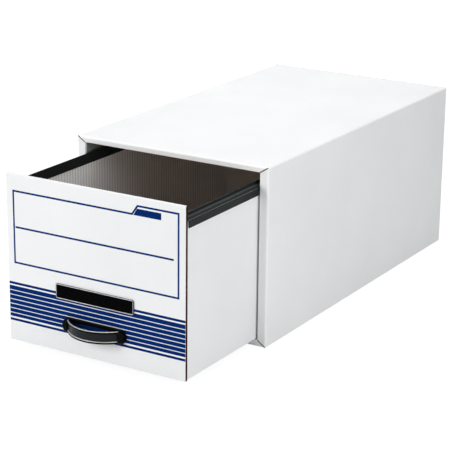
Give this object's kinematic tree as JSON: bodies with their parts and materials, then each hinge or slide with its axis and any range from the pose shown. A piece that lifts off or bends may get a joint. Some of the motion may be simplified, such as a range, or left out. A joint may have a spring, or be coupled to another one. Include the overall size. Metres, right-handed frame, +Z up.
{
  "type": "file box with drawer",
  "caption": "Free-standing file box: a folded white board shell, open at the front, with a full-depth drawer on a bow handle that hangs folders from side rails.",
  "frame": {"origin": "centre of the shell's underside, on the surface that it stands on", "axes": "+Z up, +Y from the mouth to the back, +X to the right of a person who faces the mouth; the drawer opens towards -Y"},
  "size_m": [0.3556, 0.8822, 0.2921],
  "materials": {
    "shell_board": "white clay-coated liner over brown corrugated board, slightly matte",
    "tray_board": "white liner outside, brown kraft liner inside",
    "front_board": "white printed liner with blue stripes and label lines, raw brown edges",
    "plate_steel": "dark grey semi-matte enamel",
    "rail_steel": "black semi-gloss enamel",
    "plaque_plastic": "black face with a thin silver rim",
    "handle_plastic": "black moulded plastic, satin gloss",
    "retainer_plastic": "black moulded plastic",
    "clip_steel": "bare spring steel"
  },
  "bodies": {
    "shell": {"shell_sleeve": "shell_board", "left_steel_plate": "plate_steel", "right_steel_plate": "plate_steel"},
    "drawer": {"drawer_tray": "tray_board", "drawer_front": "front_board", "left_hanging_rail": "rail_steel", "right_hanging_rail": "rail_steel", "front_plaque": "plaque_plastic", "pull_handle": "handle_plastic", "handle_retainer": "retainer_plastic", "left_post_clip": "clip_steel", "right_post_clip": "clip_steel"}
  },
  "joints": [
    {"name": "drawer_slide", "type": "slide", "parent": "shell", "child": "drawer", "axis": [0, -1, 0], "range_m": [-0.2055, 0.3826]}
  ]
}
